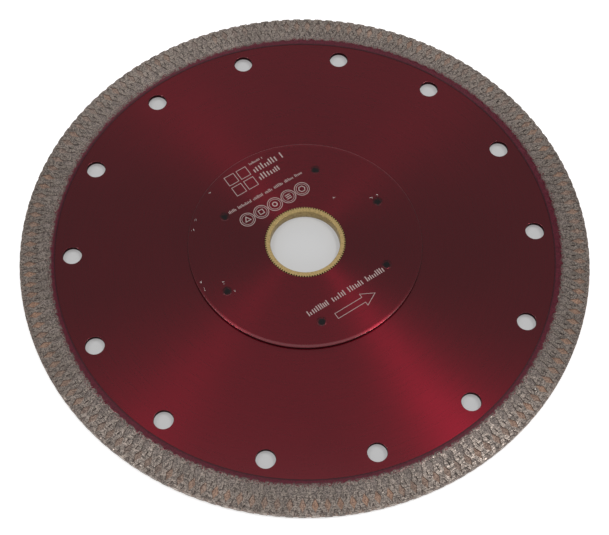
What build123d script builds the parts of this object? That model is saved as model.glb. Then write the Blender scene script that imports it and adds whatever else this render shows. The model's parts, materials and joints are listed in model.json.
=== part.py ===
"""Continuous-rim mesh turbo diamond blade, 180 mm, with its knurled reducer bush.

Frame: origin on the arbor axis at the blade's mid-plane, +Z out of the marked front face.
All sizes are in millimetres. Each separate physical piece is written to parts/NODE.step.
"""
from build123d import *
import math
import os

# Whole blade
BLADE_RADIUS = 90.0
ARBOR_RADIUS = 12.7
CORE_THICKNESS = 1.4
FLANGE_THICKNESS = 1.0
RIM_THICKNESS = 2.2
CORE_FACE = CORE_THICKNESS / 2
HUB_FACE = CORE_FACE + FLANGE_THICKNESS
RIM_FACE = RIM_THICKNESS / 2

# Cooling holes through the core
COOLING_HOLES = 14
COOLING_HOLE_RADIUS = 3.0
COOLING_CIRCLE_RADIUS = 73.6
FIRST_COOLING_HOLE_ANGLE = 4.85

# Reinforcing flange discs and the spot welds that hold them
FLANGE_RADIUS = 37.2
FLANGE_EDGE_CHAMFER = 0.55
FLANGE_FOOT_CHAMFER = 0.15
WELD_RADIUS = 1.4
WELD_DIMPLE = 0.06
# Distance from the axis and angle of each weld. They are placed by hand, so they are uneven.
WELD_PLACES = ((27.2, 84.0), (27.8, 33.8), (26.9, -16.6), (28.7, -78.8), (30.1, -142.4), (27.2, 161.7))

# Outer edge of the core, locked into the sintered rim by half-round keys
CORE_RADIUS = 81.5
CORE_KEYS = 30
CORE_KEY_RADIUS = 0.9

# Sintered rim: a diamond-free base ring moulded over the core's edge, and the diamond ring round it.
# The base starts as a sloping shoulder on the core's faces.
SHOULDER_FOOT_RADIUS = 79.0
SHOULDER_TOP_RADIUS = 80.6
SHOULDER_FOOT_HEIGHT = 0.06
DIAMOND_INNER_RADIUS = 83.7
RIM_EDGE_CHAMFER = 0.12

# Mesh relief pressed into both faces of the rim. Each cell has one vase-shaped pocket, which runs
# across both rings, and the rib between two pockets has a V notch at the outer edge.
RELIEF_CELLS = 150
RELIEF_PHASE = 1.70
RELIEF_DEPTH = 0.35
# Radius and half width down one side of the pocket, from its outer tip to its foot
POCKET_TIP = (89.1, 0.0)
POCKET_SHOULDER = (87.1, 1.0)
POCKET_NECK = (85.2, 0.32)
POCKET_BELLY = (82.6, 1.1)
POCKET_FOOT = (81.2, 0.6)
NOTCH_TIP_RADIUS = 88.45
NOTCH_HALF_WIDTH = 0.8

# Reducer bush, knurled outside and smooth inside
BUSH_CREST_RADIUS = 12.67
BUSH_ROOT_RADIUS = 12.28
BUSH_BORE_RADIUS = 11.115
BUSH_BORE_CHAMFER = 0.15
KNURL_TEETH = 96

# Cutting tools run past the faces that they cut
OVERRUN = 1.0


def slab(radius, low, high):
    """A plain disc between two heights."""
    return Pos(0, 0, low) * Cylinder(radius, high - low, align=(Align.CENTER, Align.CENTER, Align.MIN))


def pillar(radius, distance, angle, height):
    """An upright cylinder, centred on the mid-plane, at a distance and angle from the axis."""
    return Rot(0, 0, angle) * Pos(distance, 0, 0) * Cylinder(radius, height)


def arbor_hole():
    return Cylinder(ARBOR_RADIUS, 2 * (HUB_FACE + OVERRUN))


def cooling_hole_tools():
    step = 360 / COOLING_HOLES
    angles = [FIRST_COOLING_HOLE_ANGLE + step * index for index in range(COOLING_HOLES)]
    height = CORE_THICKNESS + 2 * OVERRUN
    return [pillar(COOLING_HOLE_RADIUS, COOLING_CIRCLE_RADIUS, angle, height) for angle in angles]


def weld_tools():
    height = 2 * (HUB_FACE + OVERRUN)
    return [pillar(WELD_RADIUS, distance, angle, height) for distance, angle in WELD_PLACES]


def key_tools():
    step = 360 / CORE_KEYS
    height = CORE_THICKNESS + 2 * OVERRUN
    return [pillar(CORE_KEY_RADIUS, CORE_RADIUS, step * index, height) for index in range(CORE_KEYS)]


def keyed_disc():
    """The core's full disc with the key notches round its edge, before any hole is made."""
    return slab(CORE_RADIUS, -CORE_FACE, CORE_FACE) - key_tools()


def steel_core():
    return keyed_disc() - [arbor_hole(), *cooling_hole_tools(), *weld_tools()]


def front_flange_disc():
    """A stamped ring on the core's front face, with a chamfered top edge and an eased foot."""
    disc = slab(FLANGE_RADIUS, CORE_FACE, HUB_FACE)
    disc = chamfer(disc.edges().sort_by(Axis.Z)[-1], FLANGE_EDGE_CHAMFER)
    disc = chamfer(disc.edges().sort_by(Axis.Z)[0], FLANGE_FOOT_CHAMFER)
    return disc - [arbor_hole(), *weld_tools()]


def rear_flange_disc():
    return front_flange_disc().mirror(Plane.XY)


def spot_welds():
    """Six fused nuggets through both flange discs and the core, dimpled by the electrodes."""
    height = 2 * (HUB_FACE - WELD_DIMPLE)
    nuggets = [pillar(WELD_RADIUS, distance, angle, height) for distance, angle in WELD_PLACES]
    return Compound(children=nuggets)


def ring_section(upper):
    """A ring's section: its upper outline, from the inside out, and the same mirrored below."""
    lower = [(radius, -height) for radius, height in reversed(upper)]
    return make_face(Plane.XZ * Polyline(*upper, *lower, close=True))


def outline(half_outline):
    """A closed outline along the radius from one side's points, mirrored to the other side."""
    mirrored = [(radius, -offset) for radius, offset in reversed(half_outline) if offset]
    return make_face(Polyline(*half_outline, *mirrored, close=True))


def round_the_rim(shape, first_angle):
    """Cutters in every cell of both faces, from one outline in the XY plane."""
    cutter = Pos(0, 0, RIM_FACE - RELIEF_DEPTH) * extrude(shape, OVERRUN)
    pair = [cutter, cutter.mirror(Plane.XY)]
    step = 360 / RELIEF_CELLS
    turns = [first_angle + step * index for index in range(RELIEF_CELLS)]
    return [Rot(0, 0, turn) * tool for turn in turns for tool in pair]


def pocket_tools():
    sides = [POCKET_TIP, POCKET_SHOULDER, POCKET_NECK, POCKET_BELLY, POCKET_FOOT]
    return round_the_rim(outline(sides), RELIEF_PHASE)


def notch_tools():
    mouth = BLADE_RADIUS + OVERRUN
    spread = NOTCH_HALF_WIDTH * (mouth - NOTCH_TIP_RADIUS) / (BLADE_RADIUS - NOTCH_TIP_RADIUS)
    vee = outline([(NOTCH_TIP_RADIUS, 0), (mouth, spread)])
    return round_the_rim(vee, RELIEF_PHASE + 180 / RELIEF_CELLS)


def rim_base_ring():
    """The ring without diamonds, which grips the keyed edge of the core."""
    section = ring_section([
        (SHOULDER_FOOT_RADIUS, CORE_FACE + SHOULDER_FOOT_HEIGHT),
        (SHOULDER_TOP_RADIUS, RIM_FACE),
        (DIAMOND_INNER_RADIUS, RIM_FACE),
    ])
    return revolve(section, Axis.Z) - keyed_disc() - pocket_tools()


def diamond_rim():
    """The cutting ring, with the outer part of each pocket and the notches."""
    section = ring_section([
        (DIAMOND_INNER_RADIUS, RIM_FACE),
        (BLADE_RADIUS - RIM_EDGE_CHAMFER, RIM_FACE),
        (BLADE_RADIUS, RIM_FACE - RIM_EDGE_CHAMFER),
    ])
    return revolve(section, Axis.Z) - pocket_tools() - notch_tools()


def knurl_outline():
    """A ring of V-shaped teeth, as a closed zigzag between the crest and root circles."""
    points = []
    for index in range(2 * KNURL_TEETH):
        radius = BUSH_CREST_RADIUS if index % 2 == 0 else BUSH_ROOT_RADIUS
        angle = math.pi * index / KNURL_TEETH
        points.append((radius * math.cos(angle), radius * math.sin(angle)))
    return make_face(Polyline(*points, close=True))


def reducer_bush():
    length = 2 * HUB_FACE
    bush = Pos(0, 0, -HUB_FACE) * extrude(knurl_outline(), length)
    bush -= Cylinder(BUSH_BORE_RADIUS, length + 2 * OVERRUN)
    mouths = bush.edges().filter_by(GeomType.CIRCLE)
    return chamfer(mouths, BUSH_BORE_CHAMFER)


PIECES = (
    steel_core,
    front_flange_disc,
    rear_flange_disc,
    spot_welds,
    rim_base_ring,
    diamond_rim,
    reducer_bush,
)

os.makedirs("parts", exist_ok=True)
for piece in PIECES:
    export_step(piece(), f"parts/{piece.__name__}.step")
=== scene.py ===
"""Looks of a 180 mm mesh turbo diamond blade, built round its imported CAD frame.

The blade lies on a pale floor, seen from the front at about 61 degrees. All lengths are in metres in the
CAD frame: origin on the arbor axis at mid-plane, +Z out of the marked front face. Tables say where they
are in millimetres.
"""
import json
import math

import bmesh
import bpy
import numpy as np
from mathutils import Matrix, Vector


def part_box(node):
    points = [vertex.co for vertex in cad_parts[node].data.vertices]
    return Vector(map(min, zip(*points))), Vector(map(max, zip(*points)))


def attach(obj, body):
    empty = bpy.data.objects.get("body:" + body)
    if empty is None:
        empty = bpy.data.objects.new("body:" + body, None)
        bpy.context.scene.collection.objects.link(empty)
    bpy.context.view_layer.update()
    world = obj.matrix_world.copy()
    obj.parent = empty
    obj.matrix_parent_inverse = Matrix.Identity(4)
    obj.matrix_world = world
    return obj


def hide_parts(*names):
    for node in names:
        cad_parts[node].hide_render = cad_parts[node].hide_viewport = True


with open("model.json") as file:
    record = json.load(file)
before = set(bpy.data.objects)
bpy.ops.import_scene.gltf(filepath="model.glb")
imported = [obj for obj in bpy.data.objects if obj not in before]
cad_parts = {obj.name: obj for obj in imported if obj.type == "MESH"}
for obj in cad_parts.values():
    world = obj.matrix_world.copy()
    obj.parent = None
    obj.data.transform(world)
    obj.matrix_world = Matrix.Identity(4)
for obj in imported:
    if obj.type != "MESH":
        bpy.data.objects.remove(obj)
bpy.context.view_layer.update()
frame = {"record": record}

MM = 0.001
RANDOM = np.random.default_rng(180)

# Sizes that the frame gives
BLADE_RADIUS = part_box("diamond_rim")[1].x
RIM_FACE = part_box("diamond_rim")[1].z
CORE_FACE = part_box("steel_core")[1].z
FLANGE_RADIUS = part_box("front_flange_disc")[1].x
HUB_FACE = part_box("front_flange_disc")[1].z
DIAMOND_INNER_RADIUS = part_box("rim_base_ring")[1].x
KNURL_CREST_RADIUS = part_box("reducer_bush")[1].x
BUSH_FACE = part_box("reducer_bush")[1].z
BUSH_BORE_RADIUS = frame["record"]["mounts"][0]["dims"]["r_mm"] * MM

# Sizes that part.py also has. WELD_PLACES are distances from the axis in mm, and angles in degrees.
BUSH_SEAT_RADIUS = 12.7 * MM
CORE_RADIUS = 81.5 * MM
CORE_KEYS = 30
CORE_KEY_RADIUS = 0.9 * MM
COOLING_HOLES = 14
COOLING_HOLE_RADIUS = 3.0 * MM
COOLING_CIRCLE_RADIUS = 73.6 * MM
FIRST_COOLING_HOLE_ANGLE = 4.85
WELD_RADIUS = 1.4 * MM
WELD_PLACES = ((27.2, 84.0), (27.8, 33.8), (26.9, -16.6), (28.7, -78.8), (30.1, -142.4), (27.2, 161.7))
SHOULDER_FOOT_RADIUS = 79.0 * MM
KNURL_ROOT_RADIUS = 12.28 * MM
KNURL_TEETH = 96
RELIEF_CELLS = 150
RELIEF_PHASE = 1.70


# ---------------------------------------------------------------- pieces and meshes

def polar(radius, degrees):
    """The point at a radius and an angle from +X."""
    angle = math.radians(degrees)
    return radius * math.cos(angle), radius * math.sin(angle)


def ring_points(radius, steps, centre=(0.0, 0.0)):
    """Points evenly spaced round a circle."""
    turns = (2 * math.pi * index / steps for index in range(steps))
    return [(centre[0] + radius * math.cos(t), centre[1] + radius * math.sin(t)) for t in turns]


def weld_middles():
    return [polar(distance * MM, angle) for distance, angle in WELD_PLACES]


def add_piece(name, mesh, material, body="blade", node=None):
    piece = bpy.data.objects.new(name, mesh)
    bpy.context.scene.collection.objects.link(piece)
    mesh.name = name
    mesh.materials.append(material)
    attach(piece, body)
    if node:
        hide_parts(node)


def smooth_except_edges(mesh, degrees):
    """Smooth shading with every edge sharper than the angle kept crisp."""
    mesh.shade_smooth()
    mesh.set_sharp_from_angle(angle=math.radians(degrees))


def mesh_from_grid(rows, attributes=None):
    """A mesh over a grid of points that closes on itself round the axis and across the rows.

    rows has the shape (rows, columns, 3). attributes maps a name to values of shape (rows, columns).
    """
    count, columns, _ = rows.shape
    index = np.arange(count * columns).reshape(count, columns)
    next_row = np.roll(index, -1, axis=0)
    faces = np.stack([index, next_row, np.roll(next_row, -1, axis=1), np.roll(index, -1, axis=1)], axis=-1)
    mesh = bpy.data.meshes.new("grid")
    mesh.from_pydata(rows.reshape(-1, 3).tolist(), [], faces.reshape(-1, 4).tolist())
    for name, values in (attributes or {}).items():
        layer = mesh.attributes.new(name, "FLOAT", "POINT")
        layer.data.foreach_set("value", np.ascontiguousarray(values, np.float32).ravel())
    mesh.update()
    return mesh


def mesh_from_bmesh(bm, name):
    mesh = bpy.data.meshes.new(name)
    bm.to_mesh(mesh)
    bm.free()
    return mesh


def closed_pairs(items):
    """Each item with the one after it, and the last with the first."""
    return list(zip(items, items[1:] + items[:1]))


def bridge(bm, first, second):
    """Quads between two closed loops of as many points."""
    for (a, b), (d, c) in zip(closed_pairs(first), closed_pairs(second)):
        bm.faces.new((a, b, c, d))


# ---------------------------------------------------------------- shader helpers

def new_material(name):
    material = bpy.data.materials.new(name)
    material.use_nodes = True
    tree = material.node_tree
    tree.nodes.clear()
    return material, tree


def add_node(tree, kind, inputs=None, **settings):
    """Adds a shader node. inputs maps a socket to a value or to another node's output."""
    node = tree.nodes.new("ShaderNode" + kind)
    for name, value in settings.items():
        setattr(node, name, value)
    for socket, value in (inputs or {}).items():
        if isinstance(value, bpy.types.NodeSocket):
            tree.links.new(value, node.inputs[socket])
        else:
            node.inputs[socket].default_value = value
    return node


def calc(tree, operation, *values):
    """A Math node's result."""
    return add_node(tree, "Math", dict(enumerate(values)), operation=operation).outputs[0]


def mix(tree, first, second, share):
    """The sum of two values, the first weighted by its share and the second by the rest."""
    return calc(tree, "ADD", calc(tree, "MULTIPLY", first, share), calc(tree, "MULTIPLY", second, 1 - share))


def ramp(tree, value, low, high, to_low=0.0, to_high=1.0):
    """value eased from the span low to high onto the span to_low to to_high, and held there."""
    node = add_node(
        tree, "MapRange",
        {"Value": value, "From Min": low, "From Max": high, "To Min": to_low, "To Max": to_high},
        interpolation_type="SMOOTHSTEP",
    )
    return node.outputs["Result"]


def blend(tree, factor, first, second):
    """A mix of two colours, each a triple or a socket."""
    node = add_node(tree, "Mix", data_type="RGBA")
    for socket, value in ((node.inputs[0], factor), (node.inputs[6], first), (node.inputs[7], second)):
        if isinstance(value, tuple):
            socket.default_value = (*value, 1)
        else:
            tree.links.new(value, socket)
    return node.outputs[2]


def noise(tree, vector, scale, detail=2.0, roughness=0.5):
    node = add_node(
        tree, "TexNoise",
        {"Vector": vector, "Scale": scale, "Detail": detail, "Roughness": roughness},
    )
    return node.outputs["Fac"]


def grains(tree, vector, scale):
    """A random value for each grain of a cell texture."""
    node = add_node(tree, "TexVoronoi", {"Vector": vector, "Scale": scale})
    return add_node(tree, "SeparateColor", {0: node.outputs["Color"]}).outputs[0]


def place(tree):
    """The point's own position in the row frame, in metres."""
    return add_node(tree, "TexCoord").outputs["Object"]


def mesh_value(tree, name):
    """A value that the mesh gives at each point."""
    return add_node(tree, "Attribute", attribute_name=name).outputs["Fac"]


def levelness(tree):
    """1 where a face looks straight up or down, and 0 where it stands upright."""
    facing = add_node(tree, "SeparateXYZ", {0: add_node(tree, "NewGeometry").outputs["True Normal"]})
    return calc(tree, "ABSOLUTE", facing.outputs["Z"])


def radius_and_turn(tree):
    """Sockets for the distance from the arbor axis and the cosine and sine round it."""
    split = add_node(tree, "SeparateXYZ", {0: place(tree)})
    x, y = split.outputs["X"], split.outputs["Y"]
    squared = calc(tree, "ADD", calc(tree, "MULTIPLY", x, x), calc(tree, "MULTIPLY", y, y))
    radius = calc(tree, "SQRT", squared)
    never_zero = calc(tree, "MAXIMUM", radius, 1e-5)
    return radius, calc(tree, "DIVIDE", x, never_zero), calc(tree, "DIVIDE", y, never_zero)


def brushed_vector(tree, turn, along):
    """A texture space drawn out round the axis, so that noise in it looks like circular brushing.

    turn is what radius_and_turn gives. A smaller along makes the streaks longer.
    """
    radius, cosine, sine = turn
    node = add_node(
        tree, "CombineXYZ",
        {0: calc(tree, "MULTIPLY", radius, 1 / MM), 1: calc(tree, "MULTIPLY", cosine, along),
         2: calc(tree, "MULTIPLY", sine, along)},
    )
    return node.outputs[0]


def bump(tree, height, strength, distance, normal=None):
    inputs = {"Height": height, "Strength": strength, "Distance": distance}
    if normal is not None:
        inputs["Normal"] = normal
    return add_node(tree, "Bump", inputs).outputs[0]


def finish_material(tree, **sockets):
    """Ends a tree in one Principled surface. Sockets are named with underscores for spaces."""
    inputs = {name.replace("_", " "): value for name, value in sockets.items()}
    surface = add_node(tree, "BsdfPrincipled", inputs)
    add_node(tree, "OutputMaterial", {"Surface": surface.outputs[0]})


def finish_brushed_material(tree, **sockets):
    """The same for a surface whose reflections are drawn out by brushing round the axis."""
    tangent = add_node(tree, "Tangent", direction_type="RADIAL", axis="Z").outputs[0]
    finish_material(tree, Anisotropic=0.84, Anisotropic_Rotation=0.25, Tangent=tangent, **sockets)


# ---------------------------------------------------------------- materials

# Colours are linear red, green and blue
LACQUER_DEEP = (0.139, 0.0021, 0.0097)
LACQUER_PALE = (0.153, 0.0023, 0.0107)
LACQUER_CLOUD = (0.118, 0.0015, 0.008)
BURNT_LACQUER = (0.006, 0.003, 0.004)
# Dark cut steel with painted shade, for upright walls
SHADED_CUT_EDGE = (0.030, 0.006, 0.008)
RIB_DARK = (0.090, 0.074, 0.066)
RIB_PALE = (0.475, 0.395, 0.344)
RIB_PATCH = (0.13, 0.102, 0.086)
POCKET_DARK = (0.092, 0.074, 0.068)
POCKET_PALE = (0.42, 0.348, 0.309)
COPPER_DARK = (0.245, 0.144, 0.102)
COPPER_PALE = (0.56, 0.360, 0.258)
RIM_PATCH = (0.135, 0.111, 0.095)
PAINT_DARK = (0.052, 0.0055, 0.012)
PAINT_PALE = (0.165, 0.0145, 0.034)
# Paint darkened as painted shade at the shoulder's foot
PAINT_FOOT_SHADE = (0.034, 0.004, 0.008)
BRASS = (0.64, 0.465, 0.205)
BRASS_TARNISH = (0.33, 0.225, 0.095)
BRASS_TURNED = (0.66, 0.50, 0.24)
BRASS_BORE = (0.19, 0.14, 0.06)
# Painted shade with red lacquer, between the knurl's teeth
TOOTH_SHADE_AND_LACQUER = (0.020, 0.007, 0.006)
ETCHED_DARK = (0.34, 0.22, 0.21)
ETCHED_PALE = (0.62, 0.50, 0.48)
BARE_STEEL_DARK = (0.62, 0.52, 0.50)
BARE_STEEL_PALE = (0.95, 0.90, 0.88)
DIAMOND_DARK = (0.42, 0.40, 0.28)
DIAMOND_PALE = (0.80, 0.80, 0.72)
PAPER_DARK = (0.87, 0.87, 0.875)
PAPER_PALE = (0.90, 0.90, 0.905)
# Painted shadow of the blade on the floor
PAPER_SHADOW_UNDER_BLADE = (0.42, 0.42, 0.423)


def nearest_weld(tree):
    """The distance to the middle of the nearest spot weld."""
    split = add_node(tree, "SeparateXYZ", {0: place(tree)})
    flat = add_node(tree, "CombineXYZ", {0: split.outputs["X"], 1: split.outputs["Y"]}).outputs[0]
    nearest = None
    for middle in weld_middles():
        node = add_node(tree, "VectorMath", {0: flat, 1: (*middle, 0)}, operation="DISTANCE")
        away = node.outputs["Value"]
        nearest = away if nearest is None else calc(tree, "MINIMUM", nearest, away)
    return nearest


def lacquered_steel(name, burnt):
    """Transparent red lacquer over circularly brushed steel.

    Cut edges are dull, and their upright walls get a dark colour: dark cut steel with painted shade, in
    the holes and under the edges. The lacquer is less glossy where an edge rolls off. A flange disc and a
    weld are burnt black round the weld's middle.
    """
    material, tree = new_material(name)
    fine = noise(tree, brushed_vector(tree, radius_and_turn(tree), 3.0), 2.2, 3.0, 0.6)
    speckle = noise(tree, place(tree), 2600.0, 2.0, 0.6)
    cloud = noise(tree, place(tree), 30.0, 3.0)
    streaks = mix(tree, fine, speckle, 0.6)
    colour = blend(tree, ramp(tree, streaks, 0.3, 0.7), LACQUER_DEEP, LACQUER_PALE)
    colour = blend(tree, ramp(tree, cloud, 0.35, 0.7, 0.0, 0.35), colour, LACQUER_CLOUD)
    if burnt:
        ragged = calc(tree, "SUBTRACT", noise(tree, place(tree), 900.0), 0.5)
        away = calc(tree, "ADD", nearest_weld(tree), calc(tree, "MULTIPLY", ragged, 1.6 * MM))
        colour = blend(tree, ramp(tree, away, 0.6 * MM, 1.9 * MM, 1.0, 0.0), colour, BURNT_LACQUER)
    level = levelness(tree)
    upright = ramp(tree, level, 0.1, 0.25, 1.0, 0.0)
    # Upright walls: dark cut steel, darkened further as painted shade in the holes and under the edges
    colour = blend(tree, upright, colour, SHADED_CUT_EDGE)
    dullness = calc(tree, "MULTIPLY", upright, 0.35)
    finish_brushed_material(
        tree, Base_Color=colour, Metallic=1.0,
        Roughness=calc(tree, "ADD", ramp(tree, streaks, 0.3, 0.7, 0.27, 0.29), dullness),
        Normal=bump(tree, fine, 0.012, 0.02 * MM),
        Coat_Weight=calc(tree, "SUBTRACT", 1.0, upright),
        Coat_Roughness=ramp(tree, level, 0.95, 0.999, 0.3, 0.12),
    )
    return material


def sinter(name):
    """Granular sintered metal, its rib tops ground bright round the axis.

    The mesh gives relief (0 in a pocket, 1 on a rib), copper and paint.
    """
    material, tree = new_material(name)
    turn = radius_and_turn(tree)
    radius = turn[0]
    crystal = grains(tree, place(tree), 3700.0)
    powder = noise(tree, place(tree), 6300.0, 2.0, 0.7)
    coarse = noise(tree, place(tree), 900.0, 3.0, 0.65)
    patch = noise(tree, place(tree), 70.0, 2.0)
    scratch = noise(tree, brushed_vector(tree, turn, 9.0), 3.6, 2.0, 0.6)
    speck = mix(tree, crystal, powder, 0.65)
    pale_speck = ramp(tree, speck, 0.15, 0.85)
    top = ramp(tree, mesh_value(tree, "relief"), 0.55, 0.9)

    rib = blend(tree, ramp(tree, mix(tree, speck, scratch, 0.5), 0.32, 0.68), RIB_DARK, RIB_PALE)
    rib = blend(tree, ramp(tree, coarse, 0.5, 0.7, 0.0, 0.25), rib, RIB_PATCH)
    floor = blend(tree, pale_speck, POCKET_DARK, POCKET_PALE)
    skin = blend(tree, pale_speck, COPPER_DARK, COPPER_PALE)
    floor = blend(tree, mesh_value(tree, "copper"), floor, skin)
    colour = blend(tree, top, floor, rib)
    colour = blend(tree, ramp(tree, patch, 0.3, 0.7, 0.0, 0.25), colour, RIM_PATCH)

    # Painted shade: the paint darkens towards the shoulder's foot, in the corner against the core
    foot = ramp(tree, radius, SHOULDER_FOOT_RADIUS, SHOULDER_FOOT_RADIUS + 0.7 * MM)
    red = blend(tree, foot, PAINT_FOOT_SHADE, blend(tree, speck, PAINT_DARK, PAINT_PALE))
    ragged = calc(tree, "SUBTRACT", mix(tree, crystal, scratch, 0.6), 0.5)
    painted = calc(tree, "ADD", mesh_value(tree, "paint"), calc(tree, "MULTIPLY", ragged, 0.8))
    colour = blend(tree, ramp(tree, painted, 0.43, 0.57), colour, red)

    past_shoulder = ramp(tree, radius, SHOULDER_FOOT_RADIUS + 1.6 * MM, SHOULDER_FOOT_RADIUS + 2.0 * MM)
    open_top = calc(tree, "MULTIPLY", top, past_shoulder)
    burnished = calc(tree, "MULTIPLY", open_top, ramp(tree, scratch, 0.42, 0.60))
    grit = bump(tree, speck, ramp(tree, top, 0.0, 1.0, 0.5, 0.12), 0.05 * MM)
    grooves = bump(tree, scratch, ramp(tree, top, 0.0, 1.0, 0.0, 0.2), 0.04 * MM, grit)
    finish_brushed_material(
        tree, Base_Color=colour, Metallic=ramp(tree, burnished, 0.0, 1.0, 0.3, 0.9),
        Roughness=ramp(tree, burnished, 0.0, 1.0, 0.60, 0.30), Normal=grooves,
    )
    return material


def machined_brass():
    """Turned brass with a slight tarnish, and painted shade with red lacquer between its teeth."""
    material, tree = new_material("machined_brass")
    turn = radius_and_turn(tree)
    radius = turn[0]
    turning = noise(tree, brushed_vector(tree, turn, 2.0), 16.0, 3.0, 0.6)
    tarnish = noise(tree, place(tree), 1300.0, 4.0, 0.7)
    colour = blend(tree, ramp(tree, tarnish, 0.35, 0.7), BRASS, BRASS_TARNISH)
    colour = blend(tree, ramp(tree, turning, 0.3, 0.7, 0.0, 0.4), colour, BRASS_TURNED)
    bore = ramp(tree, radius, BUSH_BORE_RADIUS + 0.05 * MM, BUSH_BORE_RADIUS + 0.2 * MM, 0.45, 0.0)
    colour = blend(tree, bore, colour, BRASS_BORE)
    # Painted shade with red lacquer: the upright walls outside the knurl's root go dark, most at the root
    upright = ramp(tree, levelness(tree), 0.1, 0.5, 1.0, 0.0)
    outside = ramp(tree, radius, KNURL_ROOT_RADIUS - 0.2 * MM, KNURL_ROOT_RADIUS - 0.1 * MM)
    toward_root = ramp(tree, radius, KNURL_ROOT_RADIUS + 0.05 * MM, KNURL_CREST_RADIUS - 0.05 * MM, 0.95, 0.3)
    shade_and_lacquer = calc(tree, "MULTIPLY", calc(tree, "MULTIPLY", upright, outside), toward_root)
    colour = blend(tree, shade_and_lacquer, colour, TOOTH_SHADE_AND_LACQUER)
    finish_material(
        tree, Base_Color=colour, Metallic=1.0, Roughness=ramp(tree, tarnish, 0.3, 0.7, 0.32, 0.5),
        Normal=bump(tree, turning, 0.25, 0.03 * MM),
    )
    return material


def bared_steel(name, dark, pale):
    """Matt steel where the lacquer has gone."""
    material, tree = new_material(name)
    grain = noise(tree, place(tree), 5000.0, 2.0, 0.6)
    finish_material(
        tree, Base_Color=blend(tree, grain, dark, pale), Metallic=0.1,
        Roughness=ramp(tree, grain, 0.3, 0.7, 0.5, 0.75),
    )
    return material


def diamond():
    """Pale yellow industrial diamond."""
    material, tree = new_material("diamond")
    tint = noise(tree, place(tree), 400.0, 1.0)
    finish_material(
        tree, Base_Color=blend(tree, tint, DIAMOND_DARK, DIAMOND_PALE), Metallic=0.0,
        Roughness=ramp(tree, tint, 0.3, 0.7, 0.08, 0.3), IOR=2.2,
    )
    return material


def floor_paper():
    """A pale sheet lit softly from below, with a painted shadow under the blade: darker paper that glows
    less.
    """
    material, tree = new_material("floor_paper")
    radius = radius_and_turn(tree)[0]
    fibre = noise(tree, place(tree), 250.0, 3.0)
    # Painted shadow: under the blade the paper is darker and glows less
    outside = ramp(tree, radius, BLADE_RADIUS - 3 * MM, BLADE_RADIUS + 0.5 * MM)
    colour = blend(tree, outside, PAPER_SHADOW_UNDER_BLADE, blend(tree, fibre, PAPER_DARK, PAPER_PALE))
    finish_material(
        tree, Base_Color=colour, Roughness=0.9, Specular_IOR_Level=0.2, Emission_Color=(1, 1, 1, 1),
        Emission_Strength=ramp(tree, outside, 0.0, 1.0, 0.25, 0.58),
    )
    return material


# ---------------------------------------------------------------- rim

# One side of a pocket, a notch or a slot: radius in mm against half width, as a share of the half cell
POCKET_SIDE = ((81.1, 0.0), (81.3, 0.30), (81.7, 0.52), (82.2, 0.64), (82.8, 0.67), (83.7, 0.47),
               (84.7, 0.23), (85.15, 0.18), (85.6, 0.25), (87.05, 0.59), (89.1, 0.0))
NOTCH_SIDE = ((88.45, 0.0), (90.0, 0.42))
SLOT_SIDE = ((84.3, 0.0), (84.36, 0.11), (85.62, 0.11), (85.7, 0.0))
POCKET_DEPTH = 0.38 * MM
BELLY_DEPTH = 0.46 * MM
CUT_DEPTH = 0.40 * MM
WALL_SHARE = 0.06
NARROWEST_SHARE = 0.10
LOBE_RISE = 0.6 * MM
LOBE_ARC = 0.95
# Radius in mm against how deep a pocket's belly is, how coppery its floor is, and how much paint lies there
BELLY_SPAN = ((81.1, 81.4, 83.7), (0.0, 0.3, 1.0))
COPPER_SPAN = ((84.7, 85.5, 88.5, 89.0), (0.0, 1.0, 1.0, 0.5))
PAINT_FADE = ((79.9, 80.4, 80.8, 82.0, 83.4), (1.0, 0.62, 0.40, 0.26, 0.05))
# Every 15 degrees from +X: how coppery the pockets are. Every 45: how far the paint strays outwards, in mm
COPPER_DRIFT = (0.60, 0.60, 0.60, 0.35, 0.45, 0.50, 0.30, 0.20, 0.30, 0.35, 0.35, 0.45,
                0.55, 0.95, 0.80, 0.35, 0.30, 0.60, 0.80, 0.95, 0.45, 0.60, 1.00, 1.00)
PAINT_DRIFT = (0.5, 0.5, 0.2, -0.55, -0.5, 0.3, -0.2, -0.3)
# How far each pocket's copper strays from the drift, and how far copper spreads across a half cell
COPPER_SPREAD = 0.15 * RANDOM.normal(0, 1, RELIEF_CELLS)
COPPER_SHARE = 0.7
# How much the relief's points stray: round the axis as a share of the half cell, outwards, and in height
TURN_STRAY = 0.012
REACH_STRAY = 0.012 * MM
HEIGHT_STRAY = 0.010 * MM

# Rows of the relief from the inside out: radius in mm, crest height in mm, and how much of the lobed
# edge the row follows
CREST = RIM_FACE / MM
BASE_ROWS = ((79.0, 0.76, 0), (79.35, 0.82, 0), (79.8, 0.90, 0.15), (80.2, 0.97, 0.6), (80.46, 1.02, 1),
             (80.54, CREST, 1), (80.8, CREST, 0.8), (81.08, CREST, 0.5), (81.18, CREST, 0.4),
             (81.4, CREST, 0.25), (81.8, CREST, 0.1), (82.3, CREST, 0), (82.8, CREST, 0),
             (83.25, CREST, 0), (83.7, CREST, 0))
DIAMOND_RADII = (83.7, 84.0, 84.27, 84.36, 84.7, 85.15, 85.62, 85.73, 86.1, 86.6, 87.05, 87.6, 88.1,
                 88.45, 88.62, 88.85, 89.02, 89.2, 89.88)
DIAMOND_ROWS = tuple((radius, CREST, 0) for radius in DIAMOND_RADII) + ((90.0, CREST - 0.12, 0),)

# Diamond grit: how many places are tried, its least and greatest size in mm, its shares on the rear
# face, the outer wall and the front face, how deep it is sunk as a share of its size, and how far it
# reaches from mid-plane on the wall as a share of half the rim's thickness
GRIT_TRIES = 5200
GRIT_SIZES = (0.07, 0.15)
GRIT_SHARES = (0.42, 0.16, 0.42)
GRIT_SUNK = 0.3
GRIT_WALL_REACH = 0.6


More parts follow.
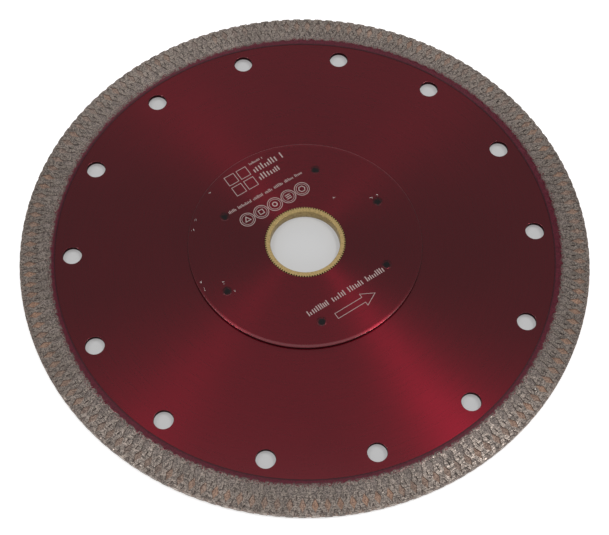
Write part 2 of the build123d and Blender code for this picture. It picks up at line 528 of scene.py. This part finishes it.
def half_width(side, radius):
    """A pocket's or cut's half width at a radius in mm, as a share of the half cell."""
    return float(np.interp(radius, [r for r, _ in side], [w for _, w in side], left=0, right=0))


def cut_half_width(radius):
    """The half width of the notch or slot in the middle of a rib."""
    return max(half_width(NOTCH_SIDE, radius), half_width(SLOT_SIDE, radius))


def relief_columns(radius):
    """Places across one cell, from -1 to 1 between rib middles, and the relief's depth at each.

    The columns follow the walls of the pocket in the middle and of the cut in the rib, so that
    their edges are crisp.
    """
    pocket = half_width(POCKET_SIDE, radius)
    cut = cut_half_width(radius)
    crest = max(pocket, NARROWEST_SHARE)
    cut_crest = 1 - max(cut, NARROWEST_SHARE)
    floor = crest - WALL_SHARE
    places = [0, floor / 2, floor, crest, (crest + cut_crest) / 2, cut_crest, cut_crest + WALL_SHARE, 1]
    belly = BELLY_DEPTH * float(np.interp(radius, *BELLY_SPAN))
    depth = (POCKET_DEPTH if radius * MM > DIAMOND_INNER_RADIUS - 0.01 * MM else belly) * (pocket > 0)
    cut_depth = CUT_DEPTH * (cut > 0)
    depths = [depth, depth, depth, 0, 0, 0, cut_depth, cut_depth]
    mirrored = [-place for place in reversed(places[1:])]
    return np.array(mirrored + places[:-1]), np.array(depths[:0:-1] + depths[:-1])


def lobed_edge(share):
    """How far the rim's inner edge rises between two lobes, 0 at a pocket and 1 in the cusp."""
    return (1 - np.sqrt(1 - LOBE_ARC * share**2)) / (1 - math.sqrt(1 - LOBE_ARC))


def drift_at(angle, values):
    """A value that changes evenly round the rim between the ones given."""
    turn = (angle / (2 * math.pi) % 1) * len(values)
    return np.interp(turn, np.arange(len(values) + 1), (*values, values[0]))


def copper_at(angle):
    """How coppery the pockets are, which drifts round the rim and from one pocket to the next."""
    cell = np.round((angle - math.radians(RELIEF_PHASE)) / (2 * math.pi / RELIEF_CELLS)).astype(int)
    return np.clip(drift_at(angle, COPPER_DRIFT) + COPPER_SPREAD[cell % RELIEF_CELLS], 0, 1)


def relief_rows(rows, side):
    """Radius, angle and height of each point on one face of a ring, its relief, paint and copper."""
    half_cell = math.pi / RELIEF_CELLS
    middles = math.radians(RELIEF_PHASE) + 2 * half_cell * np.arange(RELIEF_CELLS)[:, None]
    out = []
    for radius, crest, lobe in rows:
        shares, depths = relief_columns(radius)
        stray = RANDOM.normal(0, 1, (3, RELIEF_CELLS, len(shares)))
        angle = middles + half_cell * (shares + TURN_STRAY * stray[0] * (np.abs(shares) < 1))
        reach = radius * MM + lobe * LOBE_RISE * lobed_edge(shares) + REACH_STRAY * stray[1]
        height = side * (crest * MM - depths + HEIGHT_STRAY * stray[2])
        relief = np.broadcast_to(1 - depths / BELLY_DEPTH, angle.shape)
        paint = np.interp(radius - drift_at(angle, PAINT_DRIFT), *PAINT_FADE)
        copper = np.interp(radius, *COPPER_SPAN) * (np.abs(shares) < COPPER_SHARE) * copper_at(angle)
        out.append([part.ravel() for part in (reach, angle, height, relief, paint, copper)])
    return out


def ring_mesh(rows, inner_rows):
    """A whole ring: its front relief, its outer wall, its rear relief and its inner rows."""
    front = relief_rows(rows, 1)
    rear = relief_rows(rows, -1)[::-1]
    wall = []
    for share in (1 / 3, 2 / 3):
        wall.append([a + (b - a) * share for a, b in zip(front[-1], rear[0])])
    angle = front[0][1]
    inner = [[radius(angle), angle, 0 * angle + height, 0 * angle + 1, 0 * angle + 1, 0 * angle]
             for radius, height in inner_rows]
    everything = np.array(front + wall + rear + inner)
    reach, angle, height, relief, paint, copper = (everything[:, part] for part in range(6))
    points = np.stack([reach * np.cos(angle), reach * np.sin(angle), height], axis=-1)
    mesh = mesh_from_grid(points, {"relief": relief, "copper": copper, "paint": paint})
    smooth_except_edges(mesh, 40)
    return mesh


def keyed_reach(angle):
    """The radius of the base ring's seat on the core, which fills the core's key notches."""
    step = 2 * math.pi / CORE_KEYS
    offset = ((angle + step / 2) % step - step / 2) * CORE_RADIUS
    return CORE_RADIUS - np.sqrt(np.maximum(CORE_KEY_RADIUS**2 - offset**2, 0))


def shoulder_foot(angle):
    return 0 * angle + SHOULDER_FOOT_RADIUS


def make_rim():
    seat = [(shoulder_foot, -CORE_FACE), (keyed_reach, -CORE_FACE), (keyed_reach, CORE_FACE),
            (shoulder_foot, CORE_FACE)]
    for name, rows, inner_rows, slot in (("rim_base_ring", BASE_ROWS, seat, "sintered_base"),
                                         ("diamond_rim", DIAMOND_ROWS, [], "sintered_matrix")):
        add_piece(name, ring_mesh(rows, inner_rows), sinter(slot), node=name)


def crest_is_open(radius, angle):
    """True where a rib's top lies at this place, and not a pocket or a cut."""
    cell = (math.degrees(angle) - RELIEF_PHASE) / (360 / RELIEF_CELLS)
    share = abs(cell - round(cell)) * 2
    return half_width(POCKET_SIDE, radius / MM) < share < 1 - cut_half_width(radius / MM)


def make_grit():
    """Diamond crystals that stand out of the rim's ribs and its outer wall."""
    corners = [(1, 0, 0), (0, 1, 0), (-1, 0, 0), (0, -1, 0), (0, 0, 1), (0, 0, -1)]
    waist = ((0, 1), (1, 2), (2, 3), (3, 0))
    points, faces = [], []
    for _ in range(GRIT_TRIES):
        radius = RANDOM.uniform(DIAMOND_INNER_RADIUS, BLADE_RADIUS)
        angle = RANDOM.uniform(0, 2 * math.pi)
        side = RANDOM.choice((-1, 0, 1), p=GRIT_SHARES)
        size = RANDOM.uniform(*GRIT_SIZES) * MM
        spin = Matrix.Rotation(RANDOM.uniform(0, 6.28), 3, Vector(RANDOM.normal(0, 1, 3)).normalized())
        height = side * (RIM_FACE - GRIT_SUNK * size)
        if side == 0:
            radius = BLADE_RADIUS - GRIT_SUNK * size
            height = RANDOM.uniform(-GRIT_WALL_REACH, GRIT_WALL_REACH) * RIM_FACE
        elif not crest_is_open(radius, angle):
            continue
        centre = Vector((radius * math.cos(angle), radius * math.sin(angle), height))
        base = len(points)
        points += [centre + spin @ (Vector(c) * size * RANDOM.uniform(0.75, 1.1)) for c in corners]
        faces += [(base + a, base + b, base + 4) for a, b in waist]
        faces += [(base + b, base + a, base + 5) for a, b in waist]
    mesh = bpy.data.meshes.new("diamond_grit")
    mesh.from_pydata(points, [], faces)
    add_piece("diamond_grit", mesh, diamond())


# ---------------------------------------------------------------- core, flanges, welds and bush

# Edge profiles from a flat face to an upright wall, in mm: how far in from the wall, and how far below
# the face. The flange's stamped edge rolls off gently before it turns down.
EASED_EDGE = ((0.10, 0.0), (0.05, 0.013), (0.013, 0.05), (0.0, 0.10))
FLANGE_EDGE = ((1.05, 0.0), (0.24, 0.04), (0.14, 0.07), (0.05, 0.15), (0.0, 0.30))
FLANGE_FOOT = ((0.15, 0.0), (0.075, 0.02), (0.02, 0.075), (0.0, 0.15))
# How far the edges of a hole and of the bush's seat open out
HOLE_EDGE = 0.10 * MM
SEAT_MOUTH = 0.16 * MM
SEAT_STEPS = 192
FLANGE_STEPS = 384
COOLING_HOLE_STEPS = 72
WELD_HOLE_STEPS = 32
WELD_STEPS = 40
KEY_STEPS = 8
KEY_GAP_STEPS = 12
# A face whose normal's Z is over this is level
LEVEL = 0.9999

# A weld's crater from its middle outwards, in mm: radius, and depth below its lip
WELD_CRATER = ((0.0, 0.06), (0.5, 0.052), (0.9, 0.03), (1.2, 0.008), (1.35, 0.0), (1.48, 0.03), (1.4, 0.2))
WELD_LIP_DEPTH = 0.02 * MM

# The bush: where each column of a tooth stands, in teeth, and whether it is on the root (0) or the crest
TOOTH_COLUMNS = (-0.12, 0.12, 0.34, 0.66)
TOOTH_CRESTS = (0.0, 0.0, 1.0, 1.0)
BUSH_BEVEL = 0.04 * MM
BUSH_MOUTH = 0.08 * MM
# The burr at the front end of a tooth: how far it stands out, and how far down it narrows and ends
KNURL_BURR = 0.15 * MM
BURR_WAIST = 0.12 * MM
BURR_END = 0.25 * MM


def circle(radius, steps, centre=(0.0, 0.0), mouth=HOLE_EDGE):
    """An outline whose points can be drawn inset from its true edge by any amount.

    A hole is a circle with a negative radius: its inset makes it larger, by no more than its mouth.
    """
    def points(inset):
        size = abs(radius) - math.copysign(inset if radius > 0 else min(inset, mouth), radius)
        return ring_points(size, steps, centre)
    return points


def keyed_circle(inset):
    """The core's outer outline with its half-round key notches. It lies hidden in the rim."""
    points = []
    half_notch = CORE_KEY_RADIUS / CORE_RADIUS
    for key in range(CORE_KEYS):
        start = 2 * math.pi * key / CORE_KEYS
        centre = Vector((math.cos(start), math.sin(start))) * CORE_RADIUS
        for step in range(KEY_STEPS + 1):
            angle = start + math.pi * (1.5 - step / KEY_STEPS)
            offset = Vector((math.cos(angle), math.sin(angle))) * (CORE_KEY_RADIUS + inset)
            points.append(tuple(centre + offset))
        span = 2 * math.pi / CORE_KEYS - 2 * half_notch
        for step in range(1, KEY_GAP_STEPS):
            angle = start + half_notch + span * step / KEY_GAP_STEPS
            points.append(((CORE_RADIUS - inset) * math.cos(angle), (CORE_RADIUS - inset) * math.sin(angle)))
    return points


def punched_plate(outlines, low, high, low_edge, high_edge):
    """A flat plate between two heights, with an edge profile for each face."""
    levels = [(inset * MM, low + drop * MM) for inset, drop in low_edge]
    levels += [(inset * MM, high - drop * MM) for inset, drop in reversed(high_edge)]
    bm = bmesh.new()
    caps = ([], [])
    for outline in outlines:
        loops = [[bm.verts.new((x, y, height)) for x, y in outline(inset)] for inset, height in levels]
        for lower, upper in zip(loops, loops[1:]):
            bridge(bm, lower, upper)
        for cap, loop in zip(caps, (loops[0], loops[-1])):
            cap += [bm.edges.get(pair) for pair in closed_pairs(loop)]
    for cap in caps:
        bmesh.ops.triangle_fill(bm, edges=cap, use_beauty=True, use_dissolve=False)
    bmesh.ops.recalc_face_normals(bm, faces=bm.faces)
    for face in bm.faces:
        face.smooth = True
    for edge in bm.edges:
        edge.smooth = sum(abs(face.normal.z) > LEVEL for face in edge.link_faces) != 1
    return mesh_from_bmesh(bm, "plate")


def weld_holes():
    return [circle(-WELD_RADIUS, WELD_HOLE_STEPS, middle) for middle in weld_middles()]


def make_core(lacquer):
    centres = [polar(COOLING_CIRCLE_RADIUS, FIRST_COOLING_HOLE_ANGLE + 360 / COOLING_HOLES * hole)
               for hole in range(COOLING_HOLES)]
    holes = [circle(-COOLING_HOLE_RADIUS, COOLING_HOLE_STEPS, centre) for centre in centres]
    outlines = [keyed_circle, circle(-BUSH_SEAT_RADIUS, SEAT_STEPS), *holes, *weld_holes()]
    mesh = punched_plate(outlines, -CORE_FACE, CORE_FACE, EASED_EDGE, EASED_EDGE)
    add_piece("steel_core", mesh, lacquer, node="steel_core")


def make_flanges(lacquer):
    seat = circle(-BUSH_SEAT_RADIUS, SEAT_STEPS, mouth=SEAT_MOUTH)
    outlines = [circle(FLANGE_RADIUS, FLANGE_STEPS), seat, *weld_holes()]
    front = punched_plate(outlines, CORE_FACE, HUB_FACE, FLANGE_FOOT, FLANGE_EDGE)
    rear = punched_plate(outlines, -HUB_FACE, -CORE_FACE, FLANGE_EDGE, FLANGE_FOOT)
    for name, mesh in (("front_flange_disc", front), ("rear_flange_disc", rear)):
        add_piece(name, mesh, lacquer, node=name)


def make_spot_welds():
    """Nuggets with a shallow crater in each face, and a lip over the eased edge of their hole."""
    profile = [(radius * MM, HUB_FACE - WELD_LIP_DEPTH - depth * MM) for radius, depth in WELD_CRATER]
    profile += [(radius, -height) for radius, height in reversed(profile)]
    bm = bmesh.new()
    for x, y in weld_middles():
        loops = []
        for radius, height in profile[1:-1]:
            points = ring_points(radius, WELD_STEPS, (x, y))
            loops.append([bm.verts.new((*point, height)) for point in points])
        for upper, lower in zip(loops, loops[1:]):
            bridge(bm, lower, upper)
        for (_, height), loop in ((profile[0], loops[0]), (profile[-1], loops[-1])):
            middle = bm.verts.new((x, y, height))
            for a, b in closed_pairs(loop):
                bm.faces.new((a, b, middle))
    bmesh.ops.recalc_face_normals(bm, faces=bm.faces)
    mesh = mesh_from_bmesh(bm, "spot_welds")
    smooth_except_edges(mesh, 50)
    material = lacquered_steel("burnt_weld", burnt=True)
    add_piece("spot_welds", mesh, material, node="spot_welds")


def make_bush():
    """The knurled ring. Each tooth has four columns: the two sides of its root and of its crest.

    Pressing it in has spread the front end of its teeth a little, into the mouth of the bore.
    """
    crest = np.tile(TOOTH_CRESTS, KNURL_TEETH)
    turn = np.tile(TOOTH_COLUMNS, KNURL_TEETH) + np.repeat(np.arange(KNURL_TEETH), len(TOOTH_COLUMNS))
    angle = 2 * math.pi * turn / KNURL_TEETH
    knurl = KNURL_ROOT_RADIUS + (KNURL_CREST_RADIUS - KNURL_ROOT_RADIUS) * crest
    burr = KNURL_BURR * (0.3 + 0.7 * crest)
    bore = [
        (BUSH_BORE_RADIUS, BUSH_FACE - BUSH_MOUTH),
        (BUSH_BORE_RADIUS + 0.3 * BUSH_MOUTH, BUSH_FACE - 0.3 * BUSH_MOUTH),
        (BUSH_BORE_RADIUS + BUSH_MOUTH, BUSH_FACE),
        (BUSH_BORE_RADIUS + 1.3 * BUSH_MOUTH, BUSH_FACE),
    ]
    front = bore + [
        (knurl + burr - BUSH_BEVEL, BUSH_FACE),
        (knurl + burr, BUSH_FACE - BUSH_BEVEL),
        (knurl + 0.35 * burr, BUSH_FACE - BURR_WAIST),
        (knurl, BUSH_FACE - BURR_END),
    ]
    rear = bore + [(knurl - BUSH_BEVEL, BUSH_FACE), (knurl, BUSH_FACE - BUSH_BEVEL)]
    section = front + [(radius, -height) for radius, height in reversed(rear)]
    rows = [np.stack([radius * np.cos(angle), radius * np.sin(angle), 0 * angle + height], axis=-1)
            for radius, height in section]
    mesh = mesh_from_grid(np.array(rows))
    smooth_except_edges(mesh, 35)
    add_piece("reducer_bush", mesh, machined_brass(), "bush", "reducer_bush")


# ---------------------------------------------------------------- marks etched in the front flange

# Marks are drawn in mm in their own axes: along their baseline, and across it
MARK_ANGLE = 35.1
MARK_THICKNESS = 0.012 * MM
SHARPEST_MITRE = 0.3
FIRST_ICON = (-10.75, 16.9)
ICON_STEP = 5.22
ICON_MIDDLES = [(FIRST_ICON[0] + ICON_STEP * index, FIRST_ICON[1]) for index in range(5)]
# The radius and the line width of the rings round an icon
ICON_RINGS = ((2.42, 0.22), (1.85, 0.15))
# The shape in each icon. A pair of numbers is a polygon's corners and its first corner's angle.
ICON_SHAPES = ((3, 90), (4, 45), "ring", "bars", (6, 0))
EMBLEM_MIDDLE = (-4.6, 30.2)
EMBLEM_TILES = ((-2.3, -2.3), (2.3, -2.3), (-2.3, 2.3), (2.3, 2.3))
TILE_RADIUS = 2.5
ARROW = ((-6.8, -28.3), (3.4, -28.3), (3.4, -29.6), (7.7, -27.3), (3.4, -25.0), (3.4, -26.3), (-6.8, -26.3))
# Rows of ticks in the place of lines of print: where a row starts and ends, its height and its middle
TICK_ROWS = ((-14.3, 14.3, 1.1, 22.3), (1.2, 12.0, 2.3, 31.6), (1.2, 9.0, 2.3, 28.2), (1.2, 6.0, 0.9, 34.3),
             (-13.6, 14.8, 1.9, -21.8))
# Scuffs in the lacquer: their place along +X and +Y in mm, and their angle from +X
NICKS = ((21.1, 17.1, 30), (22.7, 17.8, 40), (-25.3, -15.3, 2), (-21.6, -18.4, 60), (-31.2, 17.6, 60),
         (-35.1, 7.0, 80), (9.3, 16.6, 30), (-32.3, -15.3, 115), (-31.0, -17.9, 120), (-35.7, 3.2, 85))


def ribbon(bm, points, width, closed):
    """A thin flat strip of even width along a path in the marks' own axes, in mm."""
    path = [Vector(point) for point in points]
    count = len(path)
    loops = []
    turn = Matrix.Rotation(math.radians(MARK_ANGLE), 2)
    for index, point in enumerate(path):
        before = path[index - 1] if closed or index else point
        after = path[(index + 1) % count] if closed or index < count - 1 else point
        into = (point - before).normalized() if point != before else (after - point).normalized()
        out = (after - point).normalized() if point != after else into
        normal = Vector((-into.y - out.y, into.x + out.x)).normalized()
        reach = width / 2 / max(normal.dot(Vector((-into.y, into.x))), SHARPEST_MITRE)
        left, right = (turn @ ((point + normal * reach * side) * MM) for side in (1, -1))
        low, high = HUB_FACE - MARK_THICKNESS, HUB_FACE + MARK_THICKNESS
        corners = ((left, low), (left, high), (right, high), (right, low))
        loops.append([bm.verts.new((*p, z)) for p, z in corners])
    for first, second in closed_pairs(loops) if closed else zip(loops, loops[1:]):
        bridge(bm, first, second)
    if not closed:
        bm.faces.new(loops[0])
        bm.faces.new(loops[-1][::-1])


def polygon_points(centre, radius, corners, first_angle):
    turned = [polar(radius, first_angle + 360 * corner / corners) for corner in range(corners)]
    return [(centre[0] + x, centre[1] + y) for x, y in turned]


def mark_piece(name, strips, material):
    """One piece from strips, each a path, a width and whether it closes."""
    bm = bmesh.new()
    for points, width, closed in strips:
        ribbon(bm, points, width, closed)
    bmesh.ops.recalc_face_normals(bm, faces=bm.faces)
    add_piece(name, mesh_from_bmesh(bm, name), material)


def icon_strips():
    """Double rings with a plain shape in each."""
    strips = []
    for (x, y), shape in zip(ICON_MIDDLES, ICON_SHAPES):
        for radius, width in ICON_RINGS:
            strips.append((ring_points(radius, 40, (x, y)), width, True))
        if shape == "ring":
            strips.append((ring_points(0.75, 24, (x, y)), 0.35, True))
        elif shape == "bars":
            strips += [([(x - 0.9, y + rise), (x + 0.9, y + rise)], 0.3, False) for rise in (-0.7, 0.0, 0.7)]
        else:
            strips.append((polygon_points((x, y), 1.1, *shape), 0.26, True))
    return strips


def emblem_strips():
    """A plain grid of four tiles."""
    middles = [(EMBLEM_MIDDLE[0] + x, EMBLEM_MIDDLE[1] + y) for x, y in EMBLEM_TILES]
    return [(polygon_points(middle, TILE_RADIUS, 4, 45), 0.2, True) for middle in middles]


def tick_row(start, end, height, across):
    """Upright ticks in groups."""
    strips = []
    along = start
    while along < end:
        group_end = min(along + RANDOM.uniform(2.0, 5.0) * height, end)
        while along < group_end:
            tall = height * RANDOM.choice((0.6, 0.8, 1.0))
            foot = across - height / 2
            strips.append(([(along, foot), (along, foot + tall)], 0.16 * height + 0.06, False))
            along += height * RANDOM.uniform(0.36, 0.5)
        along += 0.6 * height
    return strips


def nick_strips():
    """Three short scratches at the place of each scuff."""
    strips = []
    for x, y, angle in NICKS:
        middle = Matrix.Rotation(-math.radians(MARK_ANGLE), 2) @ Vector((x, y))
        for _ in range(3):
            start = middle + Vector(RANDOM.normal(0, 0.25, 2))
            along = Vector(polar(RANDOM.uniform(0.08, 0.4), angle - MARK_ANGLE + RANDOM.normal(0, 8)))
            strips.append(([tuple(start - along), tuple(start + along)], RANDOM.uniform(0.05, 0.12), False))
    return strips


def make_marks():
    etched = bared_steel("etched_mark", ETCHED_DARK, ETCHED_PALE)
    mark_piece("etched_icons", icon_strips(), etched)
    mark_piece("etched_emblem", emblem_strips(), etched)
    mark_piece("etched_arrow", [(ARROW, 0.18, True)], etched)
    ticks = []
    for row in TICK_ROWS:
        ticks += tick_row(*row)
    mark_piece("etched_tick_rows", ticks, etched)
    bright = bared_steel("bare_steel", BARE_STEEL_DARK, BARE_STEEL_PALE)
    mark_piece("lacquer_nicks", nick_strips(), bright)


# ---------------------------------------------------------------- stage, lights and camera

FLOOR_HALF_SIZE = 3.0
# Azimuth from +X towards +Y, elevation, size in metres and power in watts
SOFTBOXES = {
    "right_softbox": (9.8, 69.6, (0.15, 0.15), 15.3),
    "left_softbox": (180.0, 68.3, (0.30, 0.30), 8.5),
    "overhead_softbox": (90.0, 84.0, (4.0, 1.2), 13.0),
    "rear_softbox": (90.0, 27.0, (3.0, 0.7), 9.0),
    "front_softbox": (270.0, 24.0, (3.5, 1.2), 14.0),
}
SOFTBOX_DISTANCE = 3.0
WORLD_STRENGTH = 0.33
CAMERA_TARGET = Vector((-0.05, -8.48, 0.0)) * MM
CAMERA_DISTANCE = 430.9 * MM
CAMERA_ELEVATION = 61.07
CAMERA_ROLL = 1.15
CAMERA_LENS = 80.9
SENSOR_WIDTH = 36


def make_floor():
    bm = bmesh.new()
    bmesh.ops.create_grid(bm, x_segments=8, y_segments=8, size=FLOOR_HALF_SIZE)
    bmesh.ops.translate(bm, verts=bm.verts, vec=(0, 0, -HUB_FACE))
    mesh = mesh_from_bmesh(bm, "floor")
    floor = bpy.data.objects.new("floor", mesh)
    bpy.context.scene.collection.objects.link(floor)
    mesh.materials.append(floor_paper())


def make_lights():
    """Rectangular area lights that face the blade, and an even grey world."""
    for name, (azimuth, elevation, size, power) in SOFTBOXES.items():
        lamp = bpy.data.lights.new(name, "AREA")
        lamp.shape = "RECTANGLE"
        lamp.size, lamp.size_y = size
        lamp.energy = power
        softbox = bpy.data.objects.new(name, lamp)
        bpy.context.scene.collection.objects.link(softbox)
        flat, up = polar(SOFTBOX_DISTANCE, elevation)
        softbox.location = (*polar(flat, azimuth), up)
        softbox.rotation_euler = softbox.location.to_track_quat("Z", "Y").to_euler()
    world = bpy.data.worlds.new("studio")
    world.use_nodes = True
    background = world.node_tree.nodes["Background"]
    background.inputs["Color"].default_value = (1, 1, 1, 1)
    background.inputs["Strength"].default_value = WORLD_STRENGTH
    bpy.context.scene.world = world


def make_camera():
    """A camera that looks down at the front face from -Y, with a slight roll."""
    elevation, roll = math.radians(CAMERA_ELEVATION), math.radians(CAMERA_ROLL)
    back = Vector((0, -math.cos(elevation), math.sin(elevation)))
    level_right = Vector((1, 0, 0))
    level_up = back.cross(level_right)
    right = level_right * math.cos(roll) + level_up * math.sin(roll)
    up = level_up * math.cos(roll) - level_right * math.sin(roll)
    lens = bpy.data.cameras.new("camera")
    lens.lens = CAMERA_LENS
    lens.sensor_fit = "HORIZONTAL"
    lens.sensor_width = SENSOR_WIDTH
    lens.clip_start = 0.01
    camera = bpy.data.objects.new("camera", lens)
    bpy.context.scene.collection.objects.link(camera)
    turned = Matrix((right, up, back)).transposed().to_4x4()
    camera.matrix_world = Matrix.Translation(CAMERA_TARGET + back * CAMERA_DISTANCE) @ turned
    bpy.context.scene.camera = camera


make_core(lacquered_steel("lacquered_core", burnt=False))
make_flanges(lacquered_steel("lacquered_flange", burnt=True))
make_spot_welds()
make_rim()
make_grit()
make_bush()
make_marks()
make_floor()
make_lights()
make_camera()
bpy.context.scene.view_settings.view_transform = "Standard"
